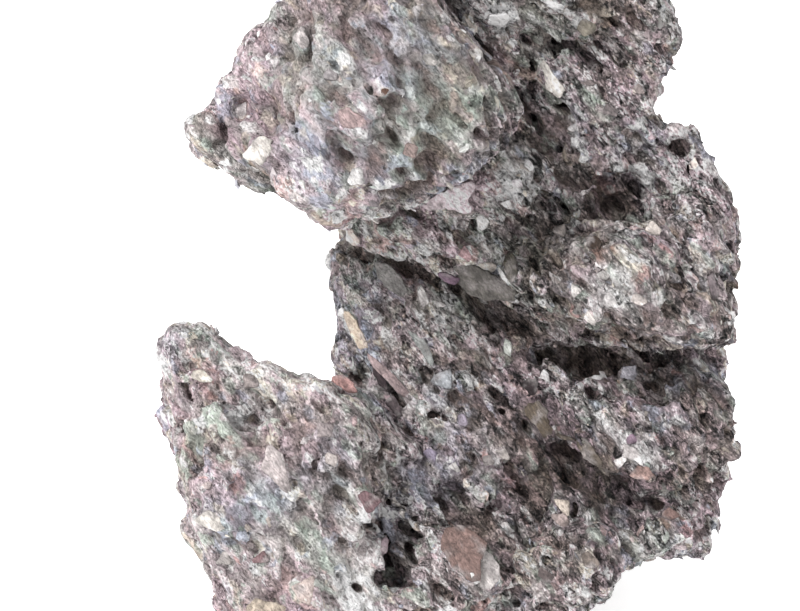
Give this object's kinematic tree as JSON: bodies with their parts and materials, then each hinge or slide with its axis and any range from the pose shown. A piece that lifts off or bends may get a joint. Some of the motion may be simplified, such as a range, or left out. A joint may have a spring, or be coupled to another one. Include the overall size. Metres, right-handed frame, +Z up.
{
  "type": "aquascaping rock",
  "caption": "Craggy porous volcanic stone with an overhanging crown, a deep side notch and a low jutting prow; stands on a level foot.",
  "frame": {"origin": "middle of the stone's footprint box, on the level foot it stands on", "axes": "+Z up; -Y towards the notched front face; +X towards the solid flank, away from the prow"},
  "size_m": [0.1864, 0.1996, 0.2303],
  "materials": {
    "stone": "matt, rough broken surface with pores and angular fragments"
  },
  "bodies": {
    "root": {"rock": "stone"}
  },
  "joints": []
}
